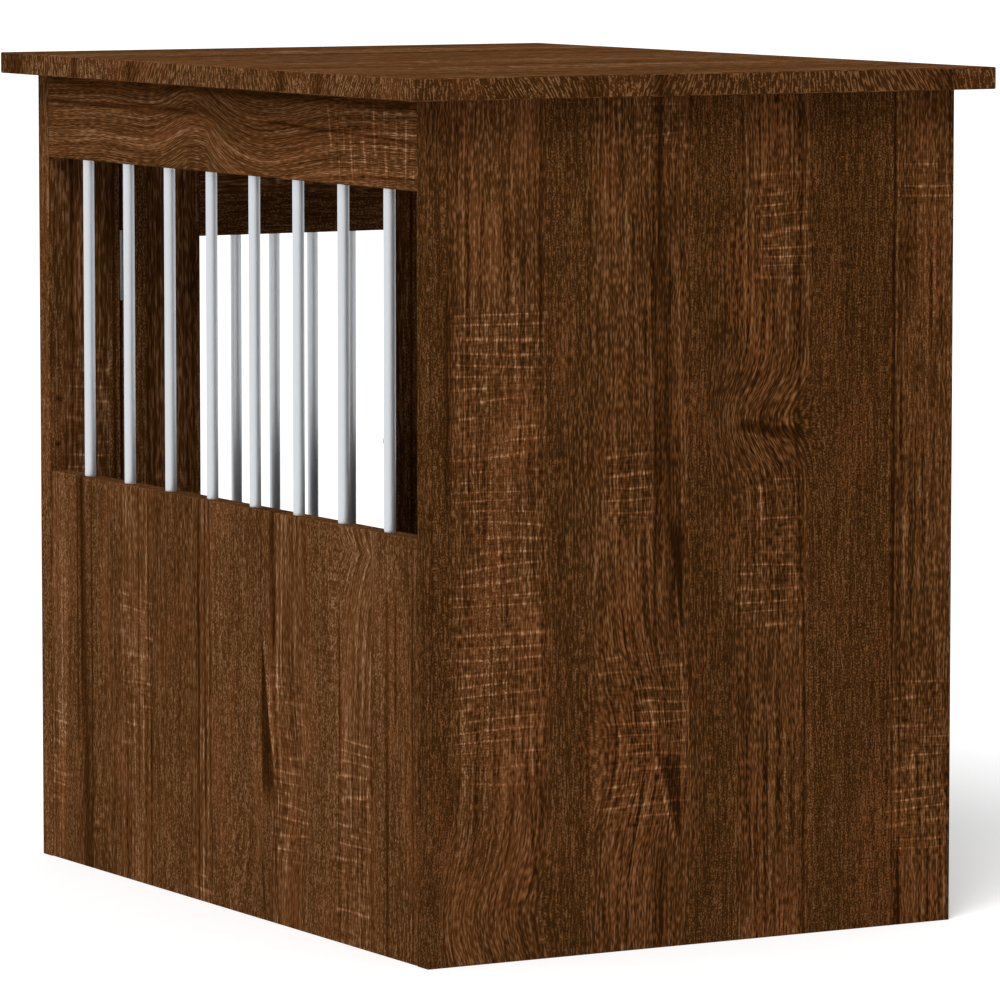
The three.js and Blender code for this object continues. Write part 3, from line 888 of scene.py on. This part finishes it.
# Turns the Z axis of a shape onto another axis
ONTO = {
    "+X": Matrix.Rotation(math.pi / 2, 4, "Y"),
    "-X": Matrix.Rotation(-math.pi / 2, 4, "Y"),
    "-Y": Matrix.Rotation(math.pi / 2, 4, "X"),
}


def middle(name):
    """The middle of a node's box."""
    low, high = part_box(name)
    return (low + high) / 2


def joint(name):
    """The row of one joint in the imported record."""
    return next(row for row in frame["joints"] if row["name"] == name)


# ---------------------------------------------------------------- bars

BAR_CHAMFER = 0.5 * MM


def add_bars():
    """Smooth round bars in place of the faceted ones."""
    bars = [name for name in nodes if "_bar_" in name]
    meshes = {}
    for name in sorted(bars):
        low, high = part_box(name)
        radius, half = (high.x - low.x) / 2, (high.z - low.z) / 2
        length = round(half, 5)
        if length not in meshes:
            meshes[length] = turned([
                (0, -half),
                (radius - BAR_CHAMFER, -half),
                (radius, BAR_CHAMFER - half),
                (radius, half - BAR_CHAMFER),
                (radius - BAR_CHAMFER, half),
                (0, half),
            ], 64)
        place = Matrix.Translation(middle(name))
        body = body_of_node[name]
        add_piece(name + "_rod", meshes[length], SATIN, body, [name], place)


# ---------------------------------------------------------------- screws and cams


def cross(half_length, half_width, depth):
    """A cross-shaped cutter, centred on the origin, for the recess in a screw or a cam."""
    a, w = half_length, half_width
    quarter = [(a, -w), (a, w), (w, w)]
    outline = []
    for turn in range(4):
        cosine, sine = round(math.cos(turn * math.pi / 2)), round(math.sin(turn * math.pi / 2))
        outline += [(x * cosine - y * sine, x * sine + y * cosine) for x, y in quarter]
    return plate(outline, [], 2 * depth, 0)


SCREW_SHANK = 1.4 * MM
SCREW_LENGTH = 9 * MM
SCREW_POINT = 2 * MM
SCREW_LIP = 0.15 * MM
RECESS_DEPTH = 0.9 * MM
# The half length and half width of a recess, as shares of the head's radius
FLAT_HEAD_RECESS = (0.62, 0.13)
DOMED_HEAD_RECESS = (0.55, 0.12)
DOME_STEPS = 9


def dome(radius, foot, height, step):
    """The profile of a domed head, from its rim to the axis; step is in degrees."""
    angles = [math.radians(k * step) for k in range(DOME_STEPS)]
    rise = [(radius * math.cos(a), foot + height * math.sin(a)) for a in angles]
    return [*rise, (0, foot + height)]


def recess(head, shares):
    """The cutter for the cross recess in a screw's head."""
    return cross(head * shares[0], head * shares[1], RECESS_DEPTH)


def countersunk_screw(head):
    """A screw with a flat head, its face at the origin, driven along -Z."""
    body = turned([
        (0, 0),
        (head - SCREW_LIP, 0),
        (head, -SCREW_LIP),
        (SCREW_SHANK, -SCREW_LIP - (head - SCREW_SHANK)),
        (SCREW_SHANK, -SCREW_LENGTH + SCREW_POINT),
        (0, -SCREW_LENGTH),
    ])
    return cut(body, recess(head, FLAT_HEAD_RECESS))


def domed_screw(head, height):
    """A screw with a domed head, whose seat is at the origin, driven along -Z."""
    body = turned([
        (0, -SCREW_LENGTH),
        (SCREW_SHANK, -SCREW_LENGTH + SCREW_POINT),
        (SCREW_SHANK, 0),
        *dome(head, 0, height, 9),
    ])
    cutter = recess(head, DOMED_HEAD_RECESS)
    cutter.transform(Matrix.Translation((0, 0, height)))
    return cut(body, cutter)


CAM_SLOT_HALF_LENGTH = 4 * MM
CAM_SLOT_HALF_WIDTH = 0.85 * MM
CAM_SLOT_DEPTH = 2.6 * MM
CAM_RIM = 1.1 * MM
CAM_DISH = 0.5 * MM
CAM_EDGE = 0.4 * MM


def add_cams():
    """Cast cams with a raised rim and a cross slot, flush with the inner faces."""
    names = sorted(name for name in nodes if "_cam_" in name)
    low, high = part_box(names[0])
    radius, length = (high.z - low.z) / 2, high.x - low.x
    body = turned([
        (0, -length),
        (radius - CAM_DISH, -length),
        (radius, CAM_DISH - length),
        (radius, -CAM_EDGE),
        (radius - CAM_EDGE, 0),
        (radius - CAM_RIM, 0),
        (radius - CAM_RIM - CAM_DISH, -CAM_DISH),
        (0, -CAM_DISH),
    ], 64)
    cam = cut(body, cross(CAM_SLOT_HALF_LENGTH, CAM_SLOT_HALF_WIDTH, CAM_SLOT_DEPTH))
    for name in names:
        low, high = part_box(name)
        centre = (low + high) / 2
        outward = "-X" if centre.x > 0 else "+X"
        face = Vector((low.x if centre.x > 0 else high.x, centre.y, centre.z))
        place = Matrix.Translation(face) @ ONTO[outward]
        body_name = body_of_node[name]
        add_piece(name + "_casting", cam, ZINC, body_name, [name], place)


# ---------------------------------------------------------------- hinges

LEAF_THICKNESS = 0.8 * MM
LEAF_BEVEL = 0.12 * MM
LEAF_OFFSET = 0.55 * MM  # from the hinge's axis to the middle of each leaf
LEAF_SCREW_HEAD = 2.9 * MM
LEAF_SCREW_SPACING = 30 * MM
LEAF_SCREW_CLEARANCE = 0.05 * MM
KNUCKLE_COUNT = 5
KNUCKLE_EDGE = 0.2 * MM
HINGE_CLEARANCE = 0.3 * MM
HINGE_PIN_RADIUS = 1.3 * MM
HINGE_PIN_CLEARANCE = 0.1 * MM
HINGE_PIN_POINT = 0.5 * MM
HINGE_PIN_RIM = 0.3 * MM


def hinge_knuckle(radius, half):
    """A ring about the pin, with rounded ends."""
    bore = HINGE_PIN_RADIUS + HINGE_PIN_CLEARANCE
    return turned([
        (bore, -half),
        (radius - KNUCKLE_EDGE, -half),
        (radius, KNUCKLE_EDGE - half),
        (radius, half - KNUCKLE_EDGE),
        (radius - KNUCKLE_EDGE, half),
        (bore, half),
    ], 48, ring=True)


def leaf_outline(reach, height, radius, middles, pitch, own):
    """A leaf laid flat, its knuckles' edge at X = 0, cut back beside the other leaf's."""
    outline = [(reach, -height / 2), (reach, height / 2)]
    for k in reversed(range(KNUCKLE_COUNT)):
        near = 0 if own[k] else radius + HINGE_CLEARANCE
        drop = HINGE_CLEARANCE / 2 if own[k] else 0
        top = min(middles[k] + pitch / 2, height / 2)
        bottom = max(middles[k] - pitch / 2, -height / 2)
        outline += [(near, top - drop), (near, bottom + HINGE_CLEARANCE / 2)]
    return outline


def hinge_pin(foot, seat, head, crown):
    """A pin with a pointed foot and a domed head of radius head, about the hinge's middle."""
    return turned([
        (0, foot),
        (HINGE_PIN_RADIUS * 0.6, foot),
        (HINGE_PIN_RADIUS, foot + HINGE_PIN_POINT),
        (HINGE_PIN_RADIUS, seat),
        (head, seat),
        *dome(head, seat + HINGE_PIN_RIM, crown - seat - HINGE_PIN_RIM, 10),
    ])


def add_hinge(word, axis_x, axis_y, screw):
    """A butt hinge: two leaves with interlocking knuckles, about a pin with a domed head."""
    frame_leaf, door_leaf = f"hinge_{word}_frame_leaf", f"hinge_{word}_door_leaf"
    low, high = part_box(frame_leaf)
    radius = axis_y - low.y
    reach = high.y - axis_y
    height = high.z - low.z
    pitch = (height + HINGE_CLEARANCE) / KNUCKLE_COUNT
    knuckle = hinge_knuckle(radius, (pitch - HINGE_CLEARANCE) / 2)
    middles = [(k - (KNUCKLE_COUNT - 1) / 2) * pitch for k in range(KNUCKLE_COUNT)]
    screw_y = reach / 2 + radius / 2 + 1 * MM
    screw_heights = (-LEAF_SCREW_SPACING / 2, LEAF_SCREW_SPACING / 2)
    hole = LEAF_SCREW_HEAD + LEAF_SCREW_CLEARANCE
    holes = [circle(screw_y, z, hole) for z in screw_heights]
    centre = Vector((axis_x, axis_y, (low.z + high.z) / 2))
    for side, name, first_own in ((1, frame_leaf, 0), (-1, door_leaf, 1)):
        own = [k % 2 == first_own for k in range(KNUCKLE_COUNT)]
        outline = leaf_outline(reach, height, radius, middles, pitch, own)
        leaf = plate(outline, holes, LEAF_THICKNESS, LEAF_BEVEL)
        plate_x = axis_x + side * LEAF_OFFSET
        upright = Matrix(((0, 0, 1, plate_x - axis_x), (1, 0, 0, 0), (0, 1, 0, 0), (0, 0, 0, 1)))
        parts = [(leaf, upright)]
        for k, mine in enumerate(own):
            if mine:
                parts.append((knuckle, Matrix.Translation((0, 0, middles[k]))))
        body = body_of_node[name]
        place = Matrix.Translation(centre)
        add_piece(name + "_rolled", joined(parts), PLATED, body, [name], place)
        face_x = plate_x - side * LEAF_THICKNESS / 2
        turn = ONTO["-X"] if side > 0 else ONTO["+X"]
        for count, z in enumerate(screw_heights, 1):
            at = Matrix.Translation((face_x, axis_y + screw_y, centre.z + z)) @ turn
            screw_name = f"{name}_screw_{count}"
            add_piece(screw_name, screw, PLATED_TURNED, body, (), at)

    name = f"hinge_{word}_pin"
    low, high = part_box(name)
    seat = height / 2 + HINGE_CLEARANCE
    pin = hinge_pin(low.z - centre.z, seat, (high.x - low.x) / 2, high.z - centre.z)
    place = Matrix.Translation(centre)
    body = body_of_node[name]
    add_piece(name + "_turned", pin, PLATED_TURNED, body, [name], place)


# ---------------------------------------------------------------- barrel bolt

LATCH_PLATE_THICKNESS = 1.2 * MM
LATCH_PLATE_CORNER = 3 * MM
LATCH_PLATE_BEVEL = 0.3 * MM
LATCH_SCREW_INSET = 4.2 * MM
LATCH_SCREW_HEAD = 2.9 * MM
LATCH_DOME = 1.5 * MM
LOOP_WIDTH = 5 * MM
LOOP_WALL = 1.2 * MM
LOOP_CORNER = 2 * MM
LOOP_INNER_CORNER = 0.8 * MM
LOOP_BEVEL = 0.25 * MM
BOLT_RADIUS = 3 * MM
BOLT_CLEARANCE = 0.4 * MM
BOLT_CHAMFER = 1 * MM
KNOB_RADIUS = 4.5 * MM
KNOB_NECK_RADIUS = 2 * MM
KNOB_NECK = 2.6 * MM
KNOB_BANDS = 4
KNOB_FOOT = 0.9 * MM  # below the lowest band
KNOB_ENDS = 2.2 * MM  # below and above the bands together
KNOB_GROOVE = 0.3 * MM
KNOB_CROWN = 0.45 * MM


def latch_loop():
    """The pressed strap over the bolt, along the bolt's axis, which is Z here; +Y is out."""
    tunnel = BOLT_RADIUS + BOLT_CLEARANCE
    outer = tunnel + LOOP_WALL
    foot = -tunnel - LATCH_PLATE_THICKNESS / 2
    corner = LOOP_CORNER
    inner = LOOP_INNER_CORNER
    outline = [
        (outer, foot),
        *arc((outer - corner, outer - corner), corner, 0, 90),
        *arc((corner - outer, outer - corner), corner, 90, 180),
        (-outer, foot),
        (-tunnel, foot),
        *arc((inner - tunnel, tunnel - inner), inner, 180, 90, 4),
        *arc((tunnel - inner, tunnel - inner), inner, 90, 0, 4),
        (tunnel, foot),
    ]
    return plate(outline, [], LOOP_WIDTH, LOOP_BEVEL)


def latch_knob(top):
    """The bolt's knob, from the bolt's axis out to its top: a neck and a grip with grooves."""
    foot = BOLT_RADIUS + KNOB_NECK
    profile = [
        (0, 0),
        (KNOB_NECK_RADIUS, 0),
        (KNOB_NECK_RADIUS, foot),
        (KNOB_RADIUS * 0.75, foot),
        (KNOB_RADIUS - 0.2 * MM, foot + 0.5 * MM),
    ]
    step = (top - foot - KNOB_ENDS) / KNOB_BANDS
    for band in range(KNOB_BANDS):
        base = foot + KNOB_FOOT + band * step
        profile += [
            (KNOB_RADIUS, base),
            (KNOB_RADIUS, base + step * 0.55),
            (KNOB_RADIUS - KNOB_GROOVE, base + step * 0.75),
        ]
    profile += [(KNOB_RADIUS * 0.82, top - KNOB_CROWN), (KNOB_RADIUS * 0.6, top), (0, top)]
    return turned(profile)


def add_latch_bolt(axis_y, axis_z):
    """The bolt, which slides along X, and its knob."""
    low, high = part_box("latch_bolt")
    length = high.x - low.x
    barrel = turned([
        (0, 0),
        (BOLT_RADIUS - BOLT_CHAMFER, 0),
        (BOLT_RADIUS, BOLT_CHAMFER),
        (BOLT_RADIUS, length - BOLT_CHAMFER),
        (BOLT_RADIUS - BOLT_CHAMFER, length),
        (0, length),
    ])
    guide_low, guide_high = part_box("latch_guide")
    knob_x = (guide_low.x + guide_high.x + joint("latch_slide")["range_m"][1]) / 2
    mesh = joined([
        (barrel, Matrix.Translation((low.x, axis_y, axis_z)) @ ONTO["+X"]),
        (latch_knob(axis_y - low.y), Matrix.Translation((knob_x, axis_y, axis_z)) @ ONTO["-Y"]),
    ])
    body = body_of_node["latch_bolt"]
    add_piece("latch_bolt_turned", mesh, PLATED_TURNED, body, ["latch_bolt"])


def add_latch(screw):
    """The barrel bolt: a guide on the door, a keeper on the stile, and the bolt itself."""
    bolt_low, bolt_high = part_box("latch_bolt")
    axis_y = bolt_high.y - BOLT_RADIUS
    axis_z = (bolt_low.z + bolt_high.z) / 2
    loop = latch_loop()
    # the loop's own axes onto the table's: its axis along X, and out along -Y
    stand = Matrix(((0, 0, -1, 0), (0, -1, 0, 0), (-1, 0, 0, 0), (0, 0, 0, 1)))
    left, right = -1, 1
    for name, loop_ends, screw_ends in (
        ("latch_guide", (left, right), (left, right)),
        ("latch_keeper", (right,), (left,)),
    ):
        low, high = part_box(name)
        half, half_height = (high.x - low.x) / 2, (high.z - low.z) / 2
        centre = Vector(((low.x + high.x) / 2, axis_y, axis_z))
        outline = rounded(-half, -half_height, half, half_height, LATCH_PLATE_CORNER)
        flat = plate(outline, [], LATCH_PLATE_THICKNESS, LATCH_PLATE_BEVEL)
        back = high.y - axis_y - LATCH_PLATE_THICKNESS / 2
        parts = [(flat, Matrix.Translation((0, back, 0)) @ ONTO["-Y"])]
        for end in loop_ends:
            at = Matrix.Translation((end * (half - LOOP_WIDTH / 2), 0, 0))
            parts.append((loop, at @ stand))
        body = body_of_node[name]
        place = Matrix.Translation(centre)
        add_piece(name + "_pressing", joined(parts), PLATED, body, [name], place)
        face_y = high.y - LATCH_PLATE_THICKNESS
        corners = [(end, up) for end in screw_ends for up in (-1, 1)]
        for count, (end, up) in enumerate(corners, 1):
            x = centre.x + end * (half - LATCH_SCREW_INSET)
            z = axis_z + up * (half_height - LATCH_SCREW_INSET)
            at = Matrix.Translation((x, face_y, z)) @ ONTO["-Y"]
            screw_name = f"{name}_screw_{count}"
            add_piece(screw_name, screw, PLATED_TURNED, body, (), at)
    add_latch_bolt(axis_y, axis_z)


# ---------------------------------------------------------------- floor and light

FLOOR_SIZE = 60
FLOOR_COLOUR = (0.9, 0.9, 0.9, 1.0)
FLOOR_LIFT = 0.24  # added for the camera and in reflections, so that the floor is white
SKY_LEVEL = 0.54
KEY_LEVEL = 0.7
KEY_DIRECTION = Vector((0.52, 0.46, 0.72))
KEY_SOFTNESS = 28  # degrees across


def seen_directly(graph):
    """1 for the camera, in reflections and through glass, and 0 for the light on things."""
    path = graph.node("ShaderNodeLightPath", {})
    kinds = ("Is Camera Ray", "Is Glossy Ray", "Is Transmission Ray")
    first, second, third = [Term(graph, path.outputs[kind]) for kind in kinds]
    return graph.clamp(first + second + third)


def add_studio():
    """A pale floor, a white surround, and one broad soft light over the barred side."""
    bpy.ops.mesh.primitive_plane_add(size=FLOOR_SIZE)
    floor = bpy.context.object
    floor.name = "floor"
    material, graph = new_material("pale_floor")
    diffuse = graph.node("ShaderNodeBsdfDiffuse", {"Color": FLOOR_COLOUR})
    lift = graph.node("ShaderNodeEmission", {"Strength": seen_directly(graph) * FLOOR_LIFT})
    both = graph.node("ShaderNodeAddShader", {})
    output = graph.node("ShaderNodeOutputMaterial", {})
    graph.tree.links.new(diffuse.outputs[0], both.inputs[0])
    graph.tree.links.new(lift.outputs[0], both.inputs[1])
    graph.tree.links.new(both.outputs[0], output.inputs["Surface"])
    floor.data.materials.append(material)

    world = bpy.data.worlds.new("studio")
    bpy.context.scene.world = world
    world.use_nodes = True
    graph = Graph(world.node_tree)
    strength = graph.mix(seen_directly(graph), SKY_LEVEL, 1.0)
    background = graph.node("ShaderNodeBackground", {"Strength": strength})
    background.inputs["Color"].default_value = (1, 1, 1, 1)
    output = graph.node("ShaderNodeOutputWorld", {})
    graph.tree.links.new(background.outputs[0], output.inputs["Surface"])

    sun = bpy.data.lights.new("key", "SUN")
    sun.energy = KEY_LEVEL * math.pi
    sun.angle = math.radians(KEY_SOFTNESS)
    key = bpy.data.objects.new("key", sun)
    key.rotation_mode = "QUATERNION"
    key.rotation_quaternion = KEY_DIRECTION.to_track_quat("Z", "Y")
    key.visible_glossy = False
    bpy.context.scene.collection.objects.link(key)


# ---------------------------------------------------------------- the whole scene

add_camera()
add_studio()
bpy.context.scene.view_settings.view_transform = "Standard"
finish_boards()
add_bars()
add_cams()
hinge_axis = joint("door_hinge")["pos_m"]
leaf_screw = countersunk_screw(LEAF_SCREW_HEAD)
for word in ("upper", "lower"):
    add_hinge(word, hinge_axis[0], hinge_axis[1], leaf_screw)
add_latch(domed_screw(LATCH_SCREW_HEAD, LATCH_DOME))
